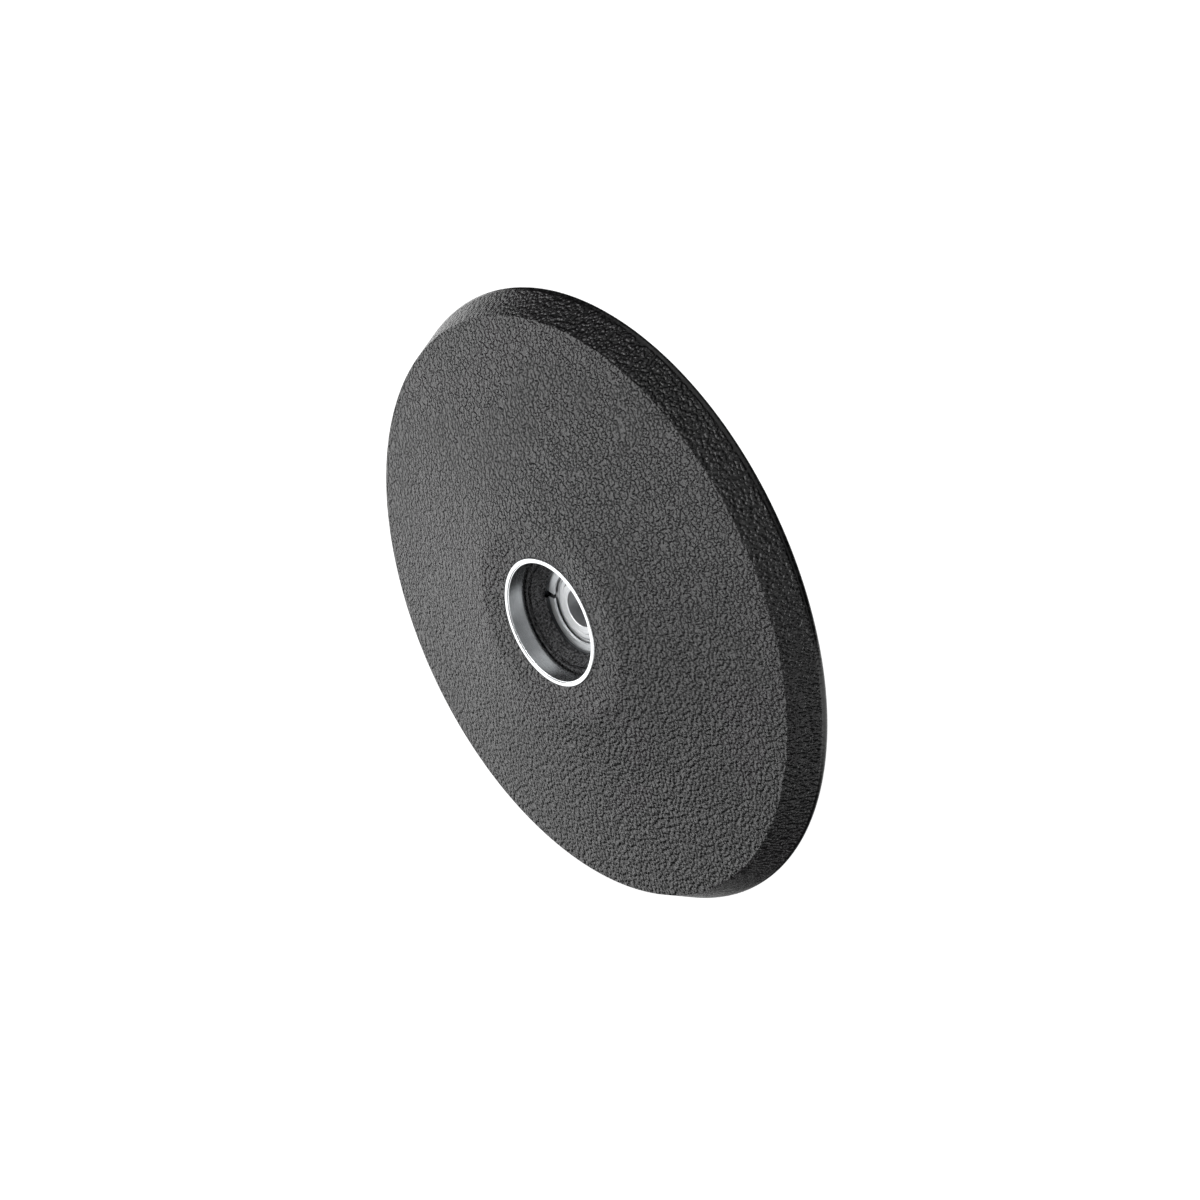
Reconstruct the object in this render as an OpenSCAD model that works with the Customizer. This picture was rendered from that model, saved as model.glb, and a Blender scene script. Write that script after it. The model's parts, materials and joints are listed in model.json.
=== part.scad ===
// Bevelled disc wheel with a recessed, shielded ball bearing in its hub.
//
// The axle lies along Y, the hub mouth faces -Y and the back is flat. The origin is the
// centre of the wheel's box. Each turned piece is drawn as an outline of
// [radius, depth], where depth runs back along +Y from the lip of the mouth ring.

/* [Disc] */
// Diameter over the widest edge of the disc
disc_d = 200; // [192:1:220]
// Thickness from the mouth ring's lip to the back face
disc_t = 28; // [28:0.5:31]
// Diameter of the shoulder, where the front cone meets the bevel
shoulder_d = 190; // [182:1:190]
// Depth of the shoulder behind the lip
shoulder_depth = 15.2; // [13:0.1:16]
// Diameter of the flat land round the hub mouth
land_d = 64.4; // [56:0.2:76]
// Radius of the rounded edge between the bevel and the back
edge_r = 1.6; // [1:0.1:2]
// Diameter of the three mould-pin holes in the back
pin_hole_d = 6; // [4:0.5:8]
// Radius from the axle to the mould-pin holes
pin_hole_at = 42; // [36:1:48]

/* [Hub mouth] */
// Bore of the mouth ring
mouth_d = 38.8; // [38:0.1:39.6]
// Wall thickness of the mouth ring
mouth_wall = 1.75; // [1.2:0.05:2]
// Depth of the mouth ring's smooth bore
mouth_depth = 6.6; // [6:0.1:6.8]
// Height of the lip above the land
lip_proud = 0.3; // [0.1:0.05:0.5]
// Radius on both edges of the lip
lip_r = 0.45; // [0.2:0.05:0.5]
// Width of the barb that anchors the foot of the mouth ring
barb_w = 1.25; // [0.8:0.05:1.5]
// Height of that barb
barb_h = 1; // [0.6:0.1:1.4]

/* [Core] */
// Diameter of the steel core plate
plate_d = 170; // [150:1:172]
// Thickness of the core plate
plate_t = 4; // [3:0.5:4]
// Depth of the core plate's front face
plate_depth = 19; // [18:0.5:19]
// Number of holes that lock the rubber through the core plate
lock_count = 8; // [6:1:10]
// Diameter of each lock hole
lock_d = 14; // [8:1:16]
// Diameter of the circle that the lock holes lie on
lock_circle_d = 124; // [116:1:128]
// Outer diameter of the hub sleeve
sleeve_d = 36; // [34:0.5:38]
// Diameter of the sleeve's welding flange
flange_d = 50; // [46:1:54]
// Thickness of the welding flange
flange_t = 2.5; // [2:0.5:3]
// Bore through the back of the sleeve
back_bore_d = 24; // [23.5:0.1:25]

/* [Bearing] */
// Bore of the inner race
bore_d = 12; // [12:1:12]
// Outer diameter of the outer race
bearing_d = 28; // [28:1:28]
// Width of the bearing
bearing_w = 8; // [8:1:8]
// Depth of the bearing's front face
bearing_depth = 12.5; // [12.4:0.1:12.6]
// Ball diameter
ball_d = 4.762; // [4.762:0.001:4.762]
// Diameter of the circle that the ball centres run on
ball_circle_d = 20; // [20:1:20]
// Number of balls
ball_count = 8; // [8:1:8]
// Outer diameter of the inner race
inner_race_d = 17; // [16.6:0.1:17.2]
// Inner diameter of the outer race beside the raceway
outer_shoulder_d = 23.5; // [23.2:0.1:23.8]
// Radial clearance between a ball and each raceway
race_gap = 0.03; // [0.02:0.01:0.05]
// Thickness of the cage sheet
cage_t = 0.45; // [0.35:0.05:0.5]
// Radial width of the cage ribbon
cage_w = 2.1; // [1.8:0.1:2.2]
// Diameter of a cage rivet's shank
rivet_d = 0.8; // [0.6:0.1:0.9]
// Thickness of the shield sheet
shield_t = 0.35; // [0.25:0.05:0.35]
// Inner diameter of a shield
shield_bore_d = 17.5; // [17.4:0.1:17.8]

/* [Snap ring] */
// Thickness of the snap ring
snap_t = 0.7; // [0.6:0.05:0.8]
// Inner diameter of the snap ring
snap_bore_d = 22.9; // [22.4:0.1:23.2]
// Width of the gap where the ring is split
snap_gap = 1.6; // [1:0.1:2.4]
// Angle of the gap about the axle, from +X
snap_gap_a = 175; // [0:1:359]
// Width of the pry slot beside the gap, where a pick lifts the end of the ring
pry_slot_w = 2.2; // [1.8:0.1:3]
// Reach of the pry slot from the axle
pry_slot_r = 15.1; // [15:0.1:16.4]

/* [Hidden] */
$fn = 96;

disc_r = disc_d / 2;
shoulder_r = shoulder_d / 2;
land_r = land_d / 2;
mouth_r = mouth_d / 2;
ring_r = mouth_r + mouth_wall;
barb_r = ring_r + barb_w;
sleeve_r = sleeve_d / 2;
flange_r = flange_d / 2;
back_bore_r = back_bore_d / 2;
bore_r = bore_d / 2;
bearing_r = bearing_d / 2;
ball_r = ball_d / 2;
ball_at = ball_circle_d / 2;
ball_step = 360 / ball_count;
inner_race_r = inner_race_d / 2;
outer_shoulder_r = outer_shoulder_d / 2;

// The bevel leaves the shoulder on a tangent to the rounded edge.
edge_centre = [disc_r - edge_r, disc_t - edge_r];
edge_run = edge_centre - [shoulder_r, shoulder_depth];
bevel_a = atan2(edge_run.x, edge_run.y) + asin(edge_r / norm(edge_run));

// Groove at the ring's foot, then the ledge, crease and funnel down to the sleeve
ledge_r = mouth_r - 1.5;
crease_r = ledge_r - 0.3;
crease_depth = mouth_depth + 1.8;
foot_groove_r = [mouth_r - 0.65, mouth_r + 0.5];
foot_groove_depth = mouth_depth + 0.7;
funnel_r = crease_r - 0.4;
funnel_depth = mouth_depth + 0.6;
sleeve_depth = bearing_depth - 1.5;
funnel_end_r = bearing_r + 0.5;

// Bearing seat and snap-ring groove in the sleeve
seat_end = bearing_depth + bearing_w;
groove_r = bearing_r + 0.75;
groove_depth = bearing_depth - snap_t;
snap_r = groove_r - 0.07;
bearing_mid = bearing_depth + bearing_w / 2;
flange_depth = plate_depth + plate_t;
bore_chamfer = 0.3;
back_chamfer = 0.5;

// Raceway grooves are a little wider than the ball.
groove_section_r = 0.52 * ball_d;
outer_groove_at = ball_at + ball_r + race_gap - groove_section_r;
inner_groove_at = ball_at - ball_r - race_gap + groove_section_r;

// A shield is crimped in a slot of the outer race and steps out towards the inner race.
shield_slot_r = outer_shoulder_r + 0.75;
shield_lip_r = outer_shoulder_r + 0.4;
shield_slot_x = 3.05;
shield_step = 0.25;
shield_step_r = [10.6, 10.2];
shield_play = 0.05;

// The cage pockets hold the balls with a little play.
pocket_r = ball_r + 0.08;
rivet_play = 0.02;
rivet_head_d = 1.4;
rivet_head_h = 0.3;
pin_hole_count = 3;
eps = 0.5;

// Puts an outline of [radius, depth] round the axle.
module turned() {
    translate([0, -disc_t / 2, 0]) rotate([-90, 0, 0]) rotate_extrude() children();
}

// As turned(), with the outline's depth measured from the bearing's mid-plane.
module turned_at_bearing() {
    turned() translate([0, bearing_mid]) children();
}

// Repeats its children in equal steps round the axle.
module round_axle(count, first = 0) {
    for (i = [0:count - 1]) rotate([0, first + i * 360 / count, 0]) children();
}

// A rod along the axle's direction at radius r, between two depths.
module axial_rod(r, at, from, to) {
    translate([at, from - disc_t / 2, 0]) rotate([-90, 0, 0]) cylinder(r = r, h = to - from);
}

// Moves its children to the centre of the ball at an angle about the axle.
module at_ball(angle) {
    rotate([0, angle, 0]) translate([ball_at, bearing_mid - disc_t / 2, 0]) children();
}

// The slot cuts the sleeve's mouth and the end of the funnel, down to the snap ring.
module pry_slot() {
    from_r = bearing_r - eps;
    rotate([0, snap_gap_a, 0])
        translate([from_r, funnel_depth - disc_t / 2, -pry_slot_w / 2])
        cube([pry_slot_r - from_r, groove_depth - funnel_depth, pry_slot_w]);
}

// ---------------------------------------------------------------- disc

module disc_outline() {
    bevel_end = edge_centre + edge_r * [cos(bevel_a), -sin(bevel_a)];
    polygon([
        [0, lip_proud],
        [land_r, lip_proud],
        [shoulder_r, shoulder_depth],
        bevel_end,
        edge_centre,
        [edge_centre.x, disc_t],
        [0, disc_t],
    ]);
    translate(edge_centre) circle(r = edge_r);
}

module hub_hollow_outline() {
    polygon([
        [0, -eps],
        [ring_r, -eps],
        [ring_r, mouth_depth - barb_h],
        [barb_r, mouth_depth - barb_h],
        [barb_r, mouth_depth],
        [foot_groove_r[1], mouth_depth],
        [foot_groove_r[1], foot_groove_depth],
        [foot_groove_r[0], foot_groove_depth],
        [foot_groove_r[0], mouth_depth],
        [ledge_r, mouth_depth],
        [crease_r, crease_depth],
        [funnel_r, funnel_depth],
        [funnel_end_r, sleeve_depth],
        [0, sleeve_depth],
    ]);
}

module sleeve_envelope_outline() {
    translate([0, sleeve_depth]) square([sleeve_r, disc_t - sleeve_depth + eps]);
    translate([0, flange_depth]) square([flange_r, flange_t]);
}

module rubber_disc() {
    color("#3f4042")
    difference() {
        turned() difference() {
            disc_outline();
            hub_hollow_outline();
            sleeve_envelope_outline();
        }
        core_plate();
        pry_slot();
        round_axle(pin_hole_count, 90) axial_rod(pin_hole_d / 2, pin_hole_at, flange_depth, disc_t + eps);
    }
}

// ---------------------------------------------------------------- core

module core_plate() {
    color("#7d8085")
    difference() {
        turned() translate([sleeve_r, plate_depth]) square([plate_d / 2 - sleeve_r, plate_t]);
        round_axle(lock_count)
            axial_rod(lock_d / 2, lock_circle_d / 2, plate_depth - eps, plate_depth + plate_t + eps);
    }
}

module hub_sleeve() {
    color("#2c2d2f")
    difference() {
        turned() polygon([
            [bearing_r, sleeve_depth],
            [sleeve_r, sleeve_depth],
            [sleeve_r, flange_depth],
            [flange_r, flange_depth],
            [flange_r, flange_depth + flange_t],
            [sleeve_r, flange_depth + flange_t],
            [sleeve_r, disc_t],
            [back_bore_r + back_chamfer, disc_t],
            [back_bore_r, disc_t - back_chamfer],
            [back_bore_r, seat_end],
            [bearing_r, seat_end],
            [bearing_r, bearing_depth],
            [groove_r, bearing_depth],
            [groove_r, groove_depth],
            [bearing_r, groove_depth],
        ]);
        pry_slot();
    }
}

module mouth_ring() {
    color("#d9dcde")
    turned() {
        polygon([
            [mouth_r, lip_r],
            [mouth_r + lip_r, lip_r],
            [mouth_r + lip_r, 0],
            [ring_r - lip_r, 0],
            [ring_r - lip_r, lip_r],
            [ring_r, lip_r],
            [ring_r, mouth_depth - barb_h],
            [barb_r, mouth_depth - barb_h],
            [barb_r, mouth_depth],
            [mouth_r, mouth_depth],
        ]);
        for (r = [mouth_r + lip_r, ring_r - lip_r]) translate([r, lip_r]) circle(r = lip_r);
    }
}

module snap_ring() {
    color("#b9bcbf")
    difference() {
        turned() translate([snap_bore_d / 2, groove_depth]) square([snap_r - snap_bore_d / 2, snap_t]);
        rotate([0, snap_gap_a, 0])
            translate([0, groove_depth - eps - disc_t / 2, -snap_gap / 2])
            cube([bearing_d, snap_t + 2 * eps, snap_gap]);
    }
}

// ---------------------------------------------------------------- bearing

module shield_slot_outline() {
    slot_end = shield_slot_x + shield_t + shield_play;
    translate([0, shield_slot_x]) square([shield_slot_r, shield_t + shield_play]);
    translate([0, slot_end - eps]) square([shield_lip_r, bearing_w / 2 - slot_end + 2 * eps]);
}

module outer_race() {
    color("#c4c7ca")
    turned_at_bearing() difference() {
        translate([outer_shoulder_r, -bearing_w / 2]) square([bearing_r - outer_shoulder_r, bearing_w]);
        translate([outer_groove_at, 0]) circle(r = groove_section_r);
        shield_slot_outline();
        mirror([0, 1]) shield_slot_outline();
    }
}

module inner_race() {
    color("#d2d5d8")
    turned_at_bearing() difference() {
        polygon([
            [bore_r, -bearing_w / 2 + bore_chamfer],
            [bore_r + bore_chamfer, -bearing_w / 2],
            [inner_race_r, -bearing_w / 2],
            [inner_race_r, bearing_w / 2],
            [bore_r + bore_chamfer, bearing_w / 2],
            [bore_r, bearing_w / 2 - bore_chamfer],
        ]);
        translate([inner_groove_at, 0]) circle(r = groove_section_r);
    }
}

// Half outline of a shield, on the side where depth is positive from the mid-plane.
module shield_outline() {
    near = shield_slot_x;
    far = near + shield_step;
    polygon([
        [shield_slot_r - shield_play, near],
        [shield_step_r[0], near],
        [shield_step_r[1], far],
        [shield_bore_d / 2, far],
        [shield_bore_d / 2, far + shield_t],
        [shield_step_r[1], far + shield_t],
        [shield_step_r[0], near + shield_t],
        [shield_slot_r - shield_play, near + shield_t],
    ]);
}

module front_shield() {
    color("#c9cccf") turned_at_bearing() mirror([0, 1]) shield_outline();
}

module rear_shield() {
    color("#c9cccf") turned_at_bearing() shield_outline();
}

// A round pocket whose axis points away from the axle, at each ball.
module pockets(r) {
    for (i = [0:ball_count - 1])
        at_ball(i * ball_step) rotate([0, 90, 0]) cylinder(r = r, h = 2 * cage_w, center = true);
}

// Half of the ribbon cage, on the back side of the ball circle's plane.
module cage_half_solid() {
    difference() {
        intersection() {
            turned_at_bearing() translate([ball_at - cage_w / 2, 0]) square([cage_w, pocket_r + 2 * cage_t]);
            union() {
                turned_at_bearing() square([ball_at + cage_w, cage_t]);
                pockets(pocket_r + cage_t);
            }
        }
        pockets(pocket_r);
        round_axle(ball_count, ball_step / 2)
            axial_rod(rivet_d / 2 + rivet_play, ball_at, bearing_mid - cage_t, bearing_mid + 2 * cage_t);
    }
}

module cage_rear() {
    color("#b5a06a") cage_half_solid();
}

module cage_front() {
    mid = bearing_mid - disc_t / 2;
    color("#b5a06a") translate([0, mid, 0]) mirror([0, 1, 0]) translate([0, -mid, 0]) cage_half_solid();
}

module cage_rivets() {
    head = cage_t + rivet_head_h;
    color("#cfd2d4")
    round_axle(ball_count, ball_step / 2) {
        axial_rod(rivet_d / 2, ball_at, bearing_mid - cage_t, bearing_mid + cage_t);
        axial_rod(rivet_head_d / 2, ball_at, bearing_mid - head, bearing_mid - cage_t);
        axial_rod(rivet_head_d / 2, ball_at, bearing_mid + cage_t, bearing_mid + head);
    }
}

module ball(i) {
    color("#e3e6e8") at_ball((i - 1) * ball_step) sphere(r = ball_r);
}

rubber_disc();
core_plate();
hub_sleeve();
mouth_ring();
snap_ring();
outer_race();
inner_race();
front_shield();
rear_shield();
cage_front();
cage_rear();
cage_rivets();
for (i = [1:ball_count]) ball(i);
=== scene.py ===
# %% [markdown]
# # A bevelled disc wheel and its ball-bearing hub
#
# The object is a disc wheel: black rubber with a leather grain, moulded over a steel
# core. A polished steel ring lines the mouth of its hub, and a shielded ball bearing
# sits at the bottom of the hub behind a split snap ring. The wheel stands upright, its
# axle lies along Y, and the hub's mouth faces -Y.
#
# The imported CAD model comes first, as a fixed frame. It gives every size and place, so
# the pieces made here need no fitting.

import json
import math

import bmesh
import bpy
import numpy as np
from mathutils import Matrix, Vector


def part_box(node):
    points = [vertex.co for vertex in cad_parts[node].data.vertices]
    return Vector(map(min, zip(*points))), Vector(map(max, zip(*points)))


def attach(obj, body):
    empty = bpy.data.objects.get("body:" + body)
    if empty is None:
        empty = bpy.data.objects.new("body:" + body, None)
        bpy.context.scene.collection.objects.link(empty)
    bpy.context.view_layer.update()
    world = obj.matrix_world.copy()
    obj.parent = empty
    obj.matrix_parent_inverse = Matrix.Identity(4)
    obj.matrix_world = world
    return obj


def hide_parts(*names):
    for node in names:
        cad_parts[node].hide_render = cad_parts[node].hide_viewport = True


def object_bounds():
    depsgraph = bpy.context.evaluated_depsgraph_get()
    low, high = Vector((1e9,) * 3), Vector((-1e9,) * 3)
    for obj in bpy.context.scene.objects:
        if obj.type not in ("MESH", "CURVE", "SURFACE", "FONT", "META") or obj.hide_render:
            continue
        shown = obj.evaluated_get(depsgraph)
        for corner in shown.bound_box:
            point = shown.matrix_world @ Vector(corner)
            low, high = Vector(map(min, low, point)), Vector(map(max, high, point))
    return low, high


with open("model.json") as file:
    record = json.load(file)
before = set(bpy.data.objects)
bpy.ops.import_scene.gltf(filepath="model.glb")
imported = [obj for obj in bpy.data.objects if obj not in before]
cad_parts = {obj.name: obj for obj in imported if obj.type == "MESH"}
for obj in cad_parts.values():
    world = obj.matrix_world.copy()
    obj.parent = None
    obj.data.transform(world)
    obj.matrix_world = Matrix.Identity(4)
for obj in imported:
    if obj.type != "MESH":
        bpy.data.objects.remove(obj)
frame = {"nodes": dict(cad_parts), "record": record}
cad_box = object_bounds()
print("box in mm:", [[round(1000 * c, 2) for c in corner] for corner in cad_box])

# %% [markdown]
# ## The wheel's own measures
#
# Every turned piece is drawn as half a section. A corner of that section is a radius
# from the axle and a depth behind the lip of the mouth ring, both in millimetres. The
# lip's place, the rim's radius, the back and the two bores come from the frame.

# %% Measures
MM = 0.001
LIP_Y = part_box("mouth_ring")[0].y
RIM_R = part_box("rubber_disc")[1].x / MM
BACK = (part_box("rubber_disc")[1].y - LIP_Y) / MM
mounts = {m["name"]: m for m in frame["record"]["mounts"]}
MOUTH_R = mounts["cap_seat"]["dims"]["r_mm"]
BORE_R = mounts["axle_bore"]["dims"]["r_mm"]
print(f"rim {RIM_R:.2f}, back {BACK:.2f}, mouth {MOUTH_R:.2f}, bore {BORE_R:.2f} mm")

# %% [markdown]
# ## Rounded sections
#
# No moulded, turned or pressed edge is perfectly sharp. A real edge carries a small
# radius, and that radius is what catches the light as a thin bright line. So a section
# is written as corners with a fillet each, and one function rounds them all at once.


# %% Rounding a section
def rounded(corners, steps=6):
    """Outline with its corners rounded. A row is (radius, depth, fillet). The fillet's
    arc touches both sides at fillet / tan(half angle) from the corner, its centre lies
    on the bisector at fillet / sin(half angle), and its points are spread by the
    slerp of the two directions from the centre to the touching points."""
    rows = np.array(corners, float)
    at, fillet = rows[:, :2], rows[:, 2:]
    back, ahead = np.roll(at, 1, 0) - at, np.roll(at, -1, 0) - at
    back /= np.linalg.norm(back, axis=1, keepdims=True)
    ahead /= np.linalg.norm(ahead, axis=1, keepdims=True)
    half = np.arccos(np.clip((back * ahead).sum(1, keepdims=True), -1, 1)) / 2
    bisector = back + ahead
    bisector /= np.linalg.norm(bisector, axis=1, keepdims=True)
    centre = at + bisector * fillet / np.sin(half)
    first, last = (at + side * fillet / np.tan(half) - centre for side in (back, ahead))
    turn = np.pi - 2 * half
    share = np.linspace(0, 1, steps + 1)[None, :, None]
    arc = (np.sin((1 - share) * turn[:, None]) * first[:, None]
           + np.sin(share * turn[:, None]) * last[:, None]) / np.sin(turn[:, None])
    points = (centre[:, None] + arc).reshape(-1, 2)
    kept = np.linalg.norm(points - np.roll(points, 1, 0), axis=1) > 1e-6
    return points[kept]


def surface(name, grid, ring_closed):
    """Mesh of a grid of points, grid[i, j]. Faces join (i, j), (i+1, j), (i+1, j+1) and
    (i, j+1). The outline, i, always closes on itself. The ring, j, closes too, or else
    gets an end face at its first and last outline. Normals are then made to point out."""
    rows, columns = grid.shape[:2]
    index = np.arange(rows * columns).reshape(rows, columns)
    below, right = np.roll(index, -1, 0), np.roll(index, -1, 1)
    quads = np.stack([index, below, np.roll(below, -1, 1), right], -1)
    quads = quads if ring_closed else quads[:, :-1]
    faces = quads.reshape(-1, 4).tolist()
    if not ring_closed:
        faces += [index[::-1, 0].tolist(), index[:, -1].tolist()]
    mesh = bpy.data.meshes.new(name)
    mesh.from_pydata(grid.reshape(-1, 3).tolist(), [], faces)
    shell = bmesh.new()
    shell.from_mesh(mesh)
    bmesh.ops.remove_doubles(shell, verts=shell.verts, dist=1e-7)
    bmesh.ops.recalc_face_normals(shell, faces=shell.faces)
    shell.to_mesh(mesh)
    shell.free()
    piece = bpy.data.objects.new(name, mesh)
    bpy.context.scene.collection.objects.link(piece)
    return piece


def turned(name, outline, columns=256, start=0.0, sweep=360.0, axis_at=(0.0, 0.0)):
    """Outline carried round the Y axis. At angle a, a corner (r, d) lies at
    x = r cos a, z = -r sin a and y = lip + d. A sweep under 360 degrees leaves a gap,
    and axis_at moves the axis to another x and z, in millimetres."""
    outline = np.asarray(outline, float)
    whole = sweep >= 360
    a = np.radians(start + np.linspace(0, sweep, columns, endpoint=not whole))
    r, depth = outline[:, :1], outline[:, 1:]
    x, z = axis_at[0] + r * np.cos(a), axis_at[1] - r * np.sin(a)
    y = LIP_Y / MM + depth + 0 * a
    return surface(name, np.stack([x, y, z], -1) * MM, whole)


def facing(piece, angle=34):
    """Smooth shading that breaks at edges sharper than the angle, with each normal
    weighted by face area, so that a broad face stays flat up to its fillet."""
    piece.data.shade_smooth()
    piece.data.set_sharp_from_angle(angle=math.radians(angle))
    weighting = piece.modifiers.new("face_weights", "WEIGHTED_NORMAL")
    weighting.keep_sharp = True
    return piece


def fitted(piece, body, node):
    """The piece rides a body and stands for a CAD node, which is hidden. Prints how far
    its box is from the node's, in millimetres."""
    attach(piece, body)
    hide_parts(node)
    low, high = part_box(node)
    co = np.empty(3 * len(piece.data.vertices))
    piece.data.vertices.foreach_get("co", co)
    co = co.reshape(-1, 3)
    off = max(np.abs(co.min(0) - low).max(), np.abs(co.max(0) - high).max()) / MM
    print(f"{piece.name}: {len(piece.data.polygons)} faces, box within {off:.3f} mm of {node}")
    return piece


# %% [markdown]
# ## The rubber cover
#
# The tyre, the cone and the hub's mouth are one block of rubber, moulded round a steel
# plate. Its section is a closed outline: the flat land round the mouth, the long cone,
# the crisp shoulder, the bevel, the rounded widest edge, the flat back, and then the
# faces that grip the core. The join of land and cone is softened by the mould, so it
# has a fillet of several millimetres, while the shoulder's is only a fraction of one.
#
# Carrying a section round an axle is one line of arithmetic for the whole surface.
# That is simpler than a Screw or Spin tool, and leaves no seam.

# %% Rubber cover
LAND_R, SHOULDER_R = 32.2, 95.0
LIP_PROUD, SHOULDER_DEPTH = 0.3, 15.2
BEVEL_DEG, EDGE_R = 24.75, 1.6
RING_R, BARB_R, RING_FOOT = 21.15, 22.4, 6.6
SLEEVE_R, FLANGE_R, PLATE_R = 18.0, 25.0, 85.0
FUNNEL_END = (14.5, 11.0)

bevel_meets_back = SHOULDER_R + (BACK - SHOULDER_DEPTH) * math.tan(math.radians(BEVEL_DEG))
rubber_section = [
    (RING_R, LIP_PROUD, 0.12),
    (LAND_R, LIP_PROUD, 16.0),
    (SHOULDER_R, SHOULDER_DEPTH, 0.35),
    (bevel_meets_back, BACK, EDGE_R),
    (SLEEVE_R, BACK, 0.0),
    (SLEEVE_R, 25.5, 0.0),
    (FLANGE_R, 25.5, 0.0),
    (FLANGE_R, 23.0, 0.0),
    (PLATE_R, 23.0, 0.0),
    (PLATE_R, 19.0, 0.0),
    (SLEEVE_R, 19.0, 0.0),
    (SLEEVE_R, FUNNEL_END[1], 0.0),
    (*FUNNEL_END, 0.0),
    (17.2, 7.2, 0.15),
    (17.6, 8.4, 0.0),
    (17.9, RING_FOOT, 0.12),
    (18.75, RING_FOOT, 0.12),
    (18.75, 7.3, 0.0),
    (19.9, 7.3, 0.0),
    (19.9, RING_FOOT, 0.0),
    (BARB_R, RING_FOOT, 0.0),
    (BARB_R, RING_FOOT - 1.0, 0.0),
    (RING_R, RING_FOOT - 1.0, 0.0),
]
rubber_cover = turned("rubber_cover", rounded(rubber_section), columns=384)
print(f"bevel meets the back at radius {bevel_meets_back:.2f} mm, {len(rubber_cover.data.polygons)} faces")

# %% [markdown]
# ### Cuts and plugs
#
# Three mould pins leave blind holes in the back, and a slot beside the snap ring lets
# a pick lift the end of the ring. Rubber also fills the core plate's lock holes. These
# are rods and a block, added to or cut from the cover with Boolean modifiers that are
# applied straight away, so that the finished piece is plain mesh.


# %% Boolean cuts
def rod(name, radius, at_radius, angle, start, end):
    """A closed rod along Y: a half section of four corners turned round its own axis,
    which stands at a radius and an angle about the axle."""
    a = math.radians(angle)
    section = [(0, start), (radius, start), (radius, end), (0, end)]
    where = (at_radius * math.cos(a), -at_radius * math.sin(a))
    return turned(name, section, columns=48, axis_at=where)


def slot_block(name, near, far, width, start, end, angle):
    """A block between two radii and two depths, turned to an angle about the axle."""
    signs = np.array([[x, y, z] for x in (0, 1) for y in (0, 1) for z in (-0.5, 0.5)])
    low = np.array([near, LIP_Y / MM + start, 0.0])
    corners = (low + signs * [far - near, end - start, width]) * MM
    turn = np.array(Matrix.Rotation(math.radians(angle), 3, "Y"))
    faces = [(0, 1, 3, 2), (4, 6, 7, 5), (0, 4, 5, 1), (2, 3, 7, 6), (0, 2, 6, 4), (1, 5, 7, 3)]
    mesh = bpy.data.meshes.new(name)
    mesh.from_pydata((corners @ turn.T).tolist(), [], faces)
    block = bpy.data.objects.new(name, mesh)
    bpy.context.scene.collection.objects.link(block)
    return block


def applied_boolean(piece, tools, operation):
    """Adds the tools to a piece, or cuts them from it, and keeps only the result. Points
    that coincide are merged, and any small hole left by the cut is filled."""
    for tool in tools:
        step = piece.modifiers.new("step", "BOOLEAN")
        step.operation, step.solver, step.object = operation, "EXACT", tool
    result = bpy.data.meshes.new_from_object(piece.evaluated_get(bpy.context.evaluated_depsgraph_get()))
    piece.modifiers.clear()
    piece.data = result
    shell = bmesh.new()
    shell.from_mesh(result)
    bmesh.ops.remove_doubles(shell, verts=shell.verts, dist=1e-7)
    bmesh.ops.holes_fill(shell, edges=shell.edges, sides=4)
    shared = [len(edge.link_faces) for edge in shell.edges]
    print(f"{operation}: {shared.count(1)} open edges, {sum(n > 2 for n in shared)} shared by over two faces")
    shell.to_mesh(result)
    shell.free()
    for tool in tools:
        bpy.data.meshes.remove(tool.data)


PIN_ANGLES = (90, 210, 330)
plugs = [rod(f"plug_{i}", 7.0, 62.0, 45 * i, 18.6, 23.4) for i in range(8)]
pins = [rod(f"pin_{a}", 3.0, 42.0, a, 23.0, BACK + 1) for a in PIN_ANGLES]
pry = slot_block("pry", 13.5, 15.1, 2.2, 7.2, 11.8, 175)
applied_boolean(rubber_cover, plugs, "UNION")
applied_boolean(rubber_cover, pins + [pry], "DIFFERENCE")
facing(rubber_cover)
fitted(rubber_cover, "disc", "rubber_disc")

# %% [markdown]
# ## The mouth ring
#
# The bright rim of the hub is a thin turned ring. Both edges of its lip are rounded,
# and a barb at its foot is moulded into the rubber so that it can't pull out. A fine
# step near the inner edge of the lip, left by the turning tool, draws a dark line.

# %% Mouth ring
ring_section = [
    (MOUTH_R, 0.3, 0.12),
    (MOUTH_R + 0.35, 0.3, 0.02),
    (MOUTH_R + 0.42, 0.0, 0.06),
    (RING_R, 0.0, 0.4),
    (RING_R, RING_FOOT - 1.0, 0.0),
    (BARB_R, RING_FOOT - 1.0, 0.1),
    (BARB_R, RING_FOOT, 0.1),
    (MOUTH_R, RING_FOOT, 0.28),
]
mouth_ring = facing(turned("polished_mouth_ring", rounded(ring_section)))
fitted(mouth_ring, "disc", "mouth_ring")

# %% [markdown]
# ## The snap ring
#
# The ring that keeps the bearing in is stamped from spring steel strip, so its edges
# are slightly rounded. It is split, and its section is carried only part of the way
# round, with a flat face closing each end.

# %% Snap ring
SNAP_IN, SNAP_OUT, SNAP_GAP, SNAP_GAP_AT = 11.45, 14.68, 1.6, 175
gap_deg = math.degrees(SNAP_GAP / 13.2)
snap_section = [(SNAP_IN, 11.8, 0.1), (SNAP_OUT, 11.8, 0.1), (SNAP_OUT, 12.5, 0.1), (SNAP_IN, 12.5, 0.1)]
snap_ring = facing(turned("split_snap_ring", rounded(snap_section, 4), columns=200,
                          start=SNAP_GAP_AT + gap_deg / 2, sweep=360 - gap_deg))
fitted(snap_ring, "disc", "snap_ring")

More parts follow.
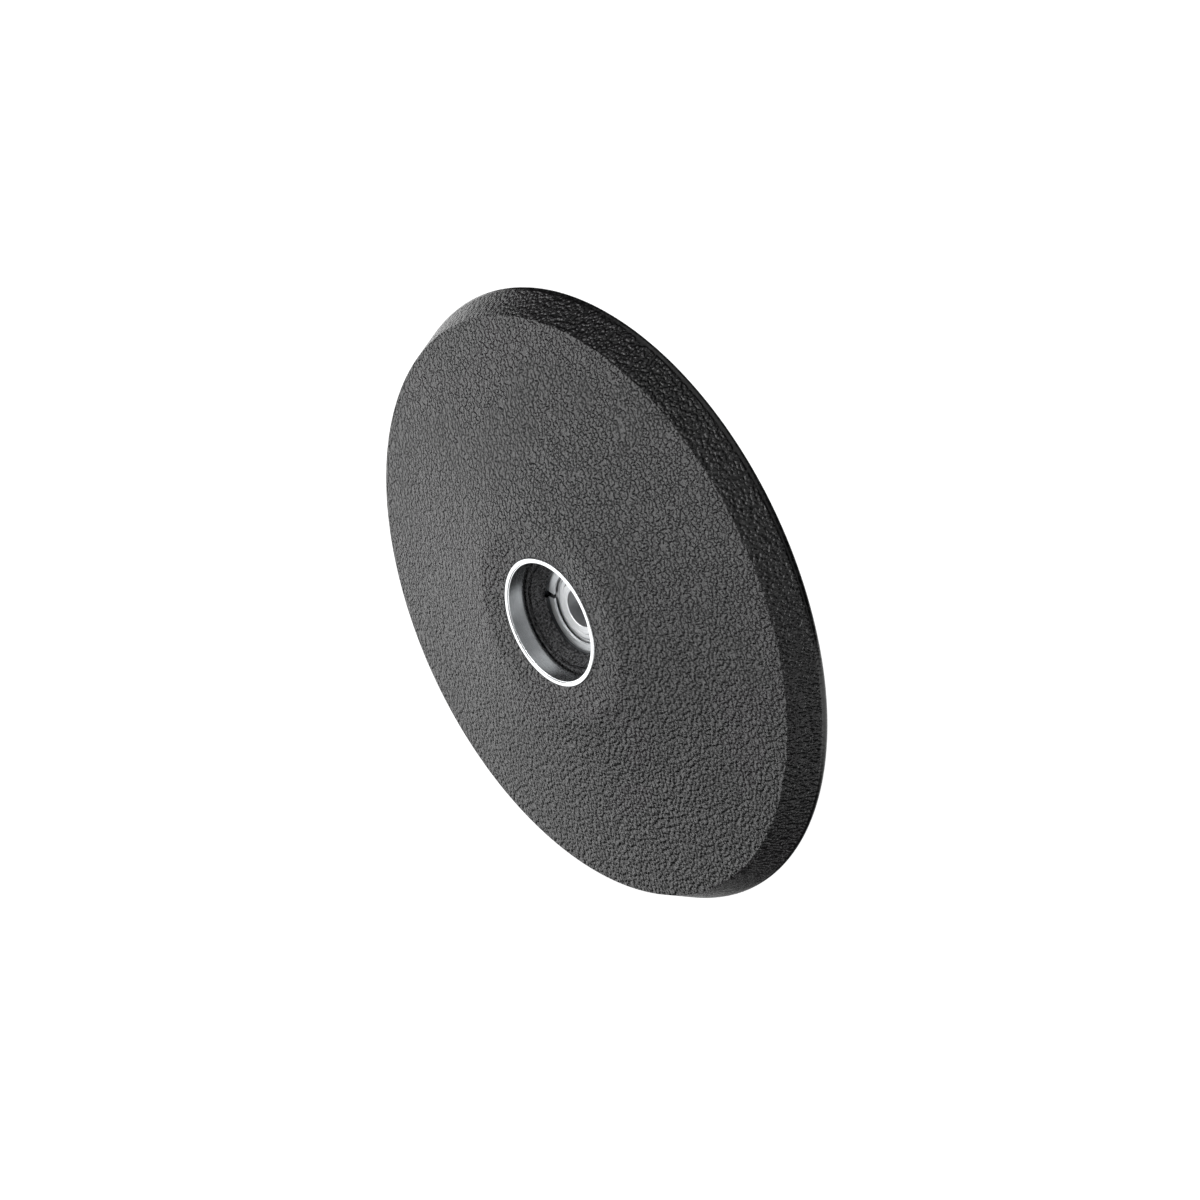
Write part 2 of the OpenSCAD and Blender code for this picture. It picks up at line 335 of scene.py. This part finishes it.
# %% [markdown]
# ## The bearing's shields and inner race
#
# A shield is thin sheet, pressed with one round step so that it clears the balls and
# nearly touches the inner race. Sheet bends with a radius of about its own thickness,
# which is what gives the soft rings of light on its face. The inner race is ground
# steel with a chamfered bore and a round track for the balls on its outside.

# %% Shields and inner race
BEARING_MID = 16.5


def shield_section(side):
    """Section of a shield, for side -1 in front of the balls or +1 behind them."""
    near, far, sheet = 3.05, 3.3, 0.35
    rows = [(12.45, near, 0.0), (10.6, near, 0.2), (10.2, far, 0.45), (8.75, far, 0.05),
            (8.75, far + sheet, 0.15), (10.2, far + sheet, 0.2), (10.6, near + sheet, 0.45),
            (12.45, near + sheet, 0.0)]
    return [(r, BEARING_MID + side * x, fillet) for r, x, fillet in rows]


for side, name in ((-1, "front_shield"), (1, "rear_shield")):
    shield = facing(turned(f"pressed_{name}", rounded(shield_section(side)), columns=160))
    fitted(shield, "disc", name)

track_r, track_at = 2.476, 10.066
track = np.radians(np.linspace(129.2, 230.8, 17))
inner_rows = np.array(rounded([
    (BORE_R, 12.5, 0.32), (8.5, 12.5, 0.12), (8.5, 20.5, 0.12), (BORE_R, 20.5, 0.32)]))
track_points = np.stack([track_at + track_r * np.cos(track), BEARING_MID - track_r * np.sin(track)], 1)
outside = np.argmax(np.linalg.norm(np.roll(inner_rows, -1, 0) - inner_rows, axis=1) * (inner_rows[:, 0] > 8.4))
inner_outline = np.insert(inner_rows, outside + 1, track_points, axis=0)
inner_race = facing(turned("ground_inner_race", inner_outline, columns=160))
fitted(inner_race, "fixed_race", "inner_race")

# %% [markdown]
# ## Adding nodes
#
# Every finish below is a small node tree on the Principled shader. One function adds a
# node of any kind with its settings and links, and another turns a hex colour, which
# is written as a screen shows it, into the linear numbers that the shader wants.


# %% Node and colour helpers
def linear(colour):
    """sRGB hex to linear: c / 12.92 up to 0.04045, and above it ((c + 0.055) / 1.055)^2.4."""
    c = np.array([int(colour[i:i + 2], 16) for i in (1, 3, 5)]) / 255
    return (*np.where(c <= 0.04045, c / 12.92, ((c + 0.055) / 1.055) ** 2.4).tolist(), 1.0)


def add(tree, kind, inputs=(), out=0, **settings):
    """Adds one node and gives back one of its outputs. settings are the node's own
    properties. inputs lists its sockets in order, or maps a socket's name or number, to
    a value or to the output that feeds it."""
    made = tree.nodes.new(kind)
    for key, value in settings.items():
        setattr(made, key, value)
    for key, value in inputs.items() if isinstance(inputs, dict) else enumerate(inputs):
        if isinstance(value, bpy.types.NodeSocket):
            tree.links.new(value, made.inputs[key])
        else:
            made.inputs[key].default_value = value
    return made.outputs[out] if made.outputs else None


def finish(name, **sockets):
    """A new material with one Principled shader, and its constants on its own sockets."""
    material = bpy.data.materials.new(name)
    material.use_nodes = True
    shader = material.node_tree.nodes["Principled BSDF"]
    for key, value in sockets.items():
        shader.inputs[key.replace("_", " ")].default_value = value
    return material, material.node_tree, shader


def per_mm(size):
    """Texture scale, in repeats per metre, that makes one repeat this many millimetres."""
    return 1 / (size * MM)


MATH, VECTOR, RANGE, MIX = "ShaderNodeMath", "ShaderNodeVectorMath", "ShaderNodeMapRange", "ShaderNodeMix"
NOISE, COORDINATES, PARTS, BUMP = "ShaderNodeTexNoise", "ShaderNodeTexCoord", "ShaderNodeSeparateXYZ", "ShaderNodeBump"
SMOOTH = {"interpolation_type": "SMOOTHSTEP"}
print("mid grey #808080 in linear light:", round(linear("#808080")[0], 3))


# %% [markdown]
# ## Moulded black rubber
#
# Rubber for a wheel is filled with carbon black, so almost no light comes back out of
# it. What the eye sees is the reflection on its skin, which is weak where the skin is
# seen square on and strong where it is seen at a slant. The mould was etched with a
# leather grain: rounded pebbles 1.5 mm across, with narrow valleys between them, and a
# finer skin on top. The last two millimetres before the widest edge and the whole back
# come from a smooth half of the mould.
#
# The grain is a Voronoi pattern whose cells are bent by noise, read from Object
# coordinates. Its height feeds a Bump node, because real pebbles this fine would need
# millions of faces.

# %% Rubber
GRAIN_MM, GRAIN_HEIGHT_MM, HUB_GRAIN_R = 1.25, 0.85, 20.0
SMOOTH_FROM_MM, SMOOTH_TO_MM = 10.9, 11.6

rubber, tree, shader = finish("moulded_black_rubber", IOR=1.5)
place = add(tree, COORDINATES, out="Object")
warp = add(tree, NOISE, {"Vector": place, "Scale": per_mm(2.2), "Detail": 2.0}, out="Color")
warp_by = add(tree, VECTOR, (warp, (0.5, 0.5, 0.5)), operation="SUBTRACT")
warp_mm = add(tree, VECTOR, {0: warp_by, "Scale": 1.6 * MM}, operation="SCALE")
bent = add(tree, VECTOR, (place, warp_mm), operation="ADD")
pebbles = add(tree, "ShaderNodeTexVoronoi", {"Vector": bent, "Scale": per_mm(GRAIN_MM), "Smoothness": 0.35},
              feature="SMOOTH_F1")
dome = add(tree, RANGE, (pebbles, 0.2, 0.8, 1.0, 0.0), **SMOOTH)
skin = add(tree, NOISE, {"Vector": place, "Scale": per_mm(0.7), "Detail": 3.0, "Roughness": 0.6})
cloud = add(tree, NOISE, {"Vector": place, "Scale": per_mm(35), "Detail": 3.0})

# Where the grain fades out towards the back, and where the hub's finer one takes over
depth = add(tree, PARTS, (place,), out=1)
grained = add(tree, RANGE, (depth, SMOOTH_FROM_MM * MM, SMOOTH_TO_MM * MM, 1.0, 0.06), **SMOOTH)
across = add(tree, VECTOR, (place, (1, 0, 1)), operation="MULTIPLY")
radius = add(tree, VECTOR, (across,), out="Value", operation="LENGTH")
in_hub = add(tree, MATH, (radius, HUB_GRAIN_R * MM), operation="LESS_THAN")

# Height of the grain: domed pebbles and the skin, in other shares inside the hub
dome_share = add(tree, MATH, (in_hub, -0.4, 0.8), operation="MULTIPLY_ADD")
skin_share = add(tree, MATH, (in_hub, 0.8, 0.4), operation="MULTIPLY_ADD")
coarse = add(tree, MATH, (dome, dome_share), operation="MULTIPLY")
height = add(tree, MATH, (skin, skin_share, coarse), operation="MULTIPLY_ADD")
relief = add(tree, MATH, (height, grained), operation="MULTIPLY")
bump = add(tree, BUMP, {"Strength": 1.0, "Distance": GRAIN_HEIGHT_MM * MM, "Height": relief})

# Colour: painted shade darkens the valleys between the pebbles, and painted highlights make the pebble tops and fine
# specks paler, most of all inside the hub
tops = add(tree, RANGE, (dome, 0.45, 0.95, 0.0, 0.6), **SMOOTH)
specks = add(tree, RANGE, (skin, 0.4, 0.6, 0.0, 1.0), **SMOOTH)
painted_light_share = add(tree, MATH, (specks, 0.4, tops), operation="MULTIPLY_ADD")
pale = add(tree, MIX, {0: in_hub, 2: painted_light_share, 3: specks})
# Inside the hub the paler colour is painted highlight on the funnel's grain
palest = add(tree, MIX, {0: in_hub, 6: linear("#2b2b2c"), 7: linear("#545456")}, out=2, data_type="RGBA")
tone = add(tree, MIX, {0: pale, 6: linear("#020203"), 7: palest}, out=2, data_type="RGBA")
gloss = add(tree, RANGE, (cloud, 0.3, 0.7, 0.23, 0.29), **SMOOTH)
polish = add(tree, MATH, (grained, 0.45, 0.55), operation="MULTIPLY_ADD")
rough = add(tree, MATH, (gloss, polish), operation="MULTIPLY")
for value, socket in ((tone, "Base Color"), (rough, "Roughness"), (bump, "Normal")):
    tree.links.new(value, shader.inputs[socket])
rubber_cover.data.materials.clear()
rubber_cover.data.materials.append(rubber)
print(f"{rubber.name}: {len(tree.nodes)} nodes, pebbles {GRAIN_MM} mm across")

# %% [markdown]
# ## Turned and ground steel
#
# A lathe or a grinding wheel leaves fine rings round the axle, on a bore as well as on
# a face. Adding a point's distance from the axle to its depth gives a number that
# changes across both, so one pattern makes rings on every turned surface. Real rings
# are a few hundredths of a millimetre apart, too fine to show, so they are drawn
# several times coarser.


# %% Steel finishes
def turned_metal(name, light, dark, roughness, ring_mm, depth_mm, spots_mm=1.5, bore_mm=0.0):
    """Metal with rings round the axle. The ring pattern is 1D noise of radius + depth,
    and fine spots of wear change its colour and roughness. Inside bore_mm the metal is
    matt from honing, with a roughness of its own, and its colour there is darkened as
    painted shade in the bore."""
    material, tree, shader = finish(name, Metallic=1.0)
    place = add(tree, COORDINATES, out="Object")
    across = add(tree, VECTOR, (place, (1, 0, 1)), operation="MULTIPLY")
    radius = add(tree, VECTOR, (across,), out="Value", operation="LENGTH")
    along = add(tree, MATH, (radius, add(tree, PARTS, (place,), out=1)), operation="ADD")
    rings = add(tree, NOISE, {"W": along, "Scale": per_mm(ring_mm), "Detail": 3.0, "Roughness": 0.7},
                noise_dimensions="1D")
    patches = add(tree, NOISE, {"Vector": place, "Scale": per_mm(spots_mm), "Detail": 4.0})
    wear = add(tree, MIX, {0: 0.5, 2: rings, 3: patches})
    light_share = add(tree, RANGE, (wear, 0.3, 0.7, 0.0, 1.0), **SMOOTH)
    colour = add(tree, MIX, {0: light_share, 6: linear(dark), 7: linear(light)}, out=2, data_type="RGBA")
    rough = add(tree, RANGE, (wear, 0.3, 0.7, roughness * 1.15, roughness * 0.87), **SMOOTH)
    if bore_mm:
        # Inside the bore, painted shade darkens the colour and honing raises the roughness
        bore_shaded_and_honed = add(tree, MATH, (radius, bore_mm * MM), operation="LESS_THAN")
        colour = add(tree, MIX, {0: bore_shaded_and_honed, 6: colour, 7: linear(BORE_PAINTED_SHADE)}, out=2, data_type="RGBA")
        rough = add(tree, MIX, {0: bore_shaded_and_honed, 2: rough, 3: HONED_ROUGHNESS})
    bump = add(tree, BUMP, {"Strength": 1.0, "Distance": depth_mm * MM, "Height": rings})
    for value, socket in ((colour, "Base Color"), (rough, "Roughness"), (bump, "Normal")):
        tree.links.new(value, shader.inputs[socket])
    return material


def cover(piece, material):
    """Puts one material on all of a piece, or in every slot of a CAD node."""
    if not piece.data.materials:
        piece.data.materials.append(material)
    for slot in piece.material_slots:
        slot.material = material


# The bore's darker colour is painted shade; its roughness is the matt of honing
BORE_PAINTED_SHADE, HONED_ROUGHNESS = "#c9cacc", 0.62
nodes = frame["nodes"]
polished = turned_metal("turned_polished_steel", "#e4e6e7", "#dadcde", 0.24, 0.5, 0.001)
cover(mouth_ring, polished)
ground = turned_metal("ground_bearing_steel", "#e6e7e8", "#d6d8da", 0.45, 0.4, 0.003, bore_mm=BORE_R + 0.15)
cover(inner_race, ground)
# Painted shade: the outer race is coloured dark so that the gap under the snap ring draws a dark line
painted_shade_steel = turned_metal("painted_shade_bearing_steel", "#3e3f40", "#2a2b2c", 0.5, 0.4, 0.003)
cover(nodes["outer_race"], painted_shade_steel)
spring = turned_metal("stamped_spring_steel", "#d8dadb", "#c4c6c8", 0.36, 0.6, 0.003)
cover(snap_ring, spring)
pressed = turned_metal("pressed_bright_steel", "#e2e3e4", "#d0d2d4", 0.45, 0.5, 0.003)
cover(bpy.data.objects["pressed_front_shield"], pressed)
cover(bpy.data.objects["pressed_rear_shield"], pressed)
oxide = turned_metal("black_oxide_steel", "#4c4d4f", "#3a3b3d", 0.25, 0.5, 0.003)
cover(nodes["hub_sleeve"], oxide)
rolled = turned_metal("hot_rolled_mild_steel", "#7f8184", "#55575a", 0.45, 2.0, 0.01, 12.0)
cover(nodes["core_plate"], rolled)
lapped = turned_metal("lapped_ball_steel", "#e2e4e6", "#d2d4d7", 0.06, 0.8, 0.0005)
for i in range(1, 9):
    cover(nodes[f"ball_{i}"], lapped)
brass = turned_metal("pressed_cage_brass", "#d9bf7c", "#b0904e", 0.25, 0.6, 0.005)
cover(nodes["cage_front"], brass)
cover(nodes["cage_rear"], brass)
drawn = turned_metal("drawn_rivet_steel", "#cfd1d3", "#a9acb0", 0.22, 0.4, 0.003)
cover(nodes["cage_rivets"], drawn)
print("materials:", ", ".join(sorted(m.name for m in bpy.data.materials)))

# %% [markdown]
# ## The studio
#
# The wheel stands on a pale floor, which keeps its shadow. The floor and the world are
# white to the camera, so the background has no horizon.
#
# Black rubber shows little but reflections, so what it mirrors matters more than its
# colour. In reflections the world is a studio with a white band of cards all round,
# just below the horizon, a dark space under the wheel and a soft panel overhead. Each
# pebble of the grain that tips towards the dark space draws a dark dot.

# %% Floor
FLOOR_Z, FLOOR_HALF, GLOW = cad_box[0].z - 0.0002, 3.0, 0.94
sides = np.linspace(-FLOOR_HALF, FLOOR_HALF, 3)
x, y = np.meshgrid(sides, sides, indexing="ij")
index = np.arange(x.size).reshape(x.shape)
quads = np.stack([index[:-1, :-1], index[1:, :-1], index[1:, 1:], index[:-1, 1:]], -1).reshape(-1, 4)
floor_mesh = bpy.data.meshes.new("studio_floor")
floor_mesh.from_pydata(np.stack([x, y, FLOOR_Z + 0 * x], -1).reshape(-1, 3).tolist(), [], quads.tolist())
floor = bpy.data.objects.new("studio_floor", floor_mesh)
bpy.context.scene.collection.objects.link(floor)
floor.visible_glossy = False

paper = bpy.data.materials.new("white_backdrop_paper")
paper.use_nodes = True
tree = paper.node_tree
tree.nodes.clear()
camera_ray, glossy_ray, clear_ray = (
    add(tree, "ShaderNodeLightPath", out=f"Is {ray} Ray") for ray in ("Camera", "Glossy", "Transmission"))
mirrored = add(tree, MATH, (glossy_ray, clear_ray), operation="MAXIMUM")
seen = add(tree, MATH, (camera_ray, mirrored), operation="MAXIMUM")
strength = add(tree, MATH, (seen, GLOW), operation="MULTIPLY")
matt = add(tree, "ShaderNodeBsdfDiffuse", (linear("#c0c0c0"),))
glow = add(tree, "ShaderNodeEmission", {"Strength": strength})
both = add(tree, "ShaderNodeAddShader", (matt, glow))
add(tree, "ShaderNodeOutputMaterial", (both,))
floor_mesh.materials.append(paper)
print(f"floor {FLOOR_Z / MM:.2f} mm below the axle")

# %% World
BAND_LOW, BAND_HIGH, BAND_LEVEL = (-0.88, -0.5), (-0.3, -0.06), 1.35
PANEL_FROM, PANEL_LEVEL, SPACE_LEVEL, DIM_LEVEL = (0.55, 1.0), 0.7, 0.03, 0.25
CARD_TOWARD, CARD_SPREAD, CARD_LEVEL = (-0.75, -0.42, -0.51), (0.83, 1.0), 0.9

world = bpy.data.worlds.new("white_studio")
bpy.context.scene.world = world
world.use_nodes = True
tree = world.node_tree
looking = add(tree, COORDINATES, out="Generated")
height_seen = add(tree, PARTS, (looking,), out=2)
near_card = add(tree, VECTOR, (looking, CARD_TOWARD), out="Value", operation="DOT_PRODUCT")
card = add(tree, RANGE, (near_card, *CARD_SPREAD, 0.0, CARD_LEVEL), **SMOOTH)
above_low = add(tree, RANGE, (height_seen, *BAND_LOW, 0.0, BAND_LEVEL), **SMOOTH)
below_high = add(tree, RANGE, (height_seen, *BAND_HIGH, 1.0, 0.0), **SMOOTH)
panel = add(tree, RANGE, (height_seen, *PANEL_FROM, SPACE_LEVEL, PANEL_LEVEL), **SMOOTH)
band_and_card = add(tree, MATH, (above_low, below_high, card), operation="MULTIPLY_ADD")
studio = add(tree, MATH, (band_and_card, panel), operation="ADD")
camera_ray, glossy_ray, clear_ray = (
    add(tree, "ShaderNodeLightPath", out=f"Is {ray} Ray") for ray in ("Camera", "Glossy", "Transmission"))
mirrored = add(tree, MATH, (glossy_ray, clear_ray), operation="MAXIMUM")
lit = add(tree, MIX, {0: mirrored, 2: DIM_LEVEL, 3: studio})
level = add(tree, MIX, {0: camera_ray, 2: lit, 3: 1.0})
tree.links.new(level, tree.nodes["Background"].inputs["Strength"])
tree.nodes["Background"].inputs["Color"].default_value = linear("#ffffff")
print(f"{world.name}: {len(tree.nodes)} nodes")

# %% [markdown]
# ### Lamps
#
# One broad lamp stands in front of the wheel to its left, and a weaker one fills from
# the right. Broad lamps give soft, plain light. An area lamp's power in watts, for
# light of strength 1 on a matt white card at its distance, is pi squared times that
# distance squared.


# %% Lamps
def area_lamp(name, toward, distance, size, level, gloss=1.0):
    """A square lamp that looks at the wheel from a direction. level is the light it puts
    on a card that faces it: 1 makes a matt white card render as white. gloss is the
    share of it that shows in reflections."""
    direction = Vector(toward).normalized()
    data = bpy.data.lights.new(name, "AREA")
    data.shape, data.size = "SQUARE", size
    data.energy = level * math.pi ** 2 * distance ** 2
    data.specular_factor = gloss
    lamp = bpy.data.objects.new(name, data)
    lamp.location = direction * distance
    lamp.rotation_mode = "QUATERNION"
    lamp.rotation_quaternion = direction.to_track_quat("Z", "Y")
    bpy.context.scene.collection.objects.link(lamp)
    return lamp


area_lamp("key_lamp", (-0.5, -0.75, 0.55), 1.3, 1.1, 0.25, 0.15)
area_lamp("front_lamp", (-0.35, -0.9, 0.05), 1.2, 0.8, 0.75, 1.0)
area_lamp("fill_lamp", (0.9, -0.5, 0.35), 1.4, 1.6, 0.12, 0.3)
print("lamps:", ", ".join(lamp.name for lamp in bpy.data.lights))

# %% [markdown]
# ## The camera
#
# The view is from the right and above, and so far away that parallel edges stay
# parallel, so the camera is orthographic. Its aim is the centre of the wheel's widest
# edge, and then a few millimetres off it, so that the wheel stands where it should in
# the frame.

# %% Camera
AZIMUTH, ELEVATION, VIEW_WIDTH = math.radians(49.6), math.radians(32.8), 0.3681
toward = Vector((math.sin(AZIMUTH) * math.cos(ELEVATION), -math.cos(AZIMUTH) * math.cos(ELEVATION), math.sin(ELEVATION)))
right = Vector((math.cos(AZIMUTH), math.sin(AZIMUTH), 0.0))
up = toward.cross(right)
rim_centre = Vector((0.0, 0.0124, 0.0))
aim = rim_centre - right * 0.004448 - up * 0.0023
camera_data = bpy.data.cameras.new("camera")
camera_data.type, camera_data.ortho_scale = "ORTHO", VIEW_WIDTH
camera_data.clip_start, camera_data.clip_end = 0.01, 20.0
camera = bpy.data.objects.new("camera", camera_data)
camera.rotation_mode = "QUATERNION"
camera.location = aim + toward * 1.0
camera.rotation_quaternion = toward.to_track_quat("Z", "Y")
bpy.context.scene.collection.objects.link(camera)
bpy.context.scene.camera = camera
bpy.context.scene.view_settings.view_transform = "Standard"
print(f"camera shows {VIEW_WIDTH / MM:.0f} mm across")

# %% [markdown]
# ## Finish
#
# The last call brings the view layer up to date.

# %% Finish
bpy.context.view_layer.update()
